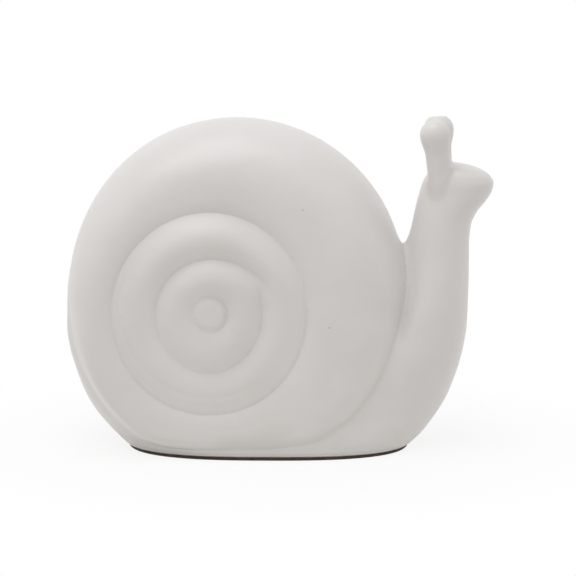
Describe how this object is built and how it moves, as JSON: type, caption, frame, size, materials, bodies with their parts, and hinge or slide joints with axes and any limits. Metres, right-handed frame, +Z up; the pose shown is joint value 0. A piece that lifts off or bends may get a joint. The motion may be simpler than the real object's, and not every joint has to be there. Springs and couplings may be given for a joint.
{
  "type": "snail figurine",
  "caption": "Hollow satin off-white ceramic snail ornament with a coiled shell, raised head, ball-tipped eye stalks and a felt pad under its flat base.",
  "frame": {"origin": "on the ground, under the middle of the ornament's length and depth", "axes": "+X towards the head, +Y to the far side, +Z up"},
  "size_m": [0.1785, 0.082, 0.1374],
  "materials": {
    "ceramic": "satin",
    "felt": "matte"
  },
  "bodies": {
    "root": {"shell_near_half": "ceramic", "shell_far_half": "ceramic", "body_near_half": "ceramic", "body_far_half": "ceramic", "tail": "ceramic", "near_eye_stalk": "ceramic", "far_eye_stalk": "ceramic", "sole": "ceramic", "base_felt": "felt"}
  },
  "joints": []
}
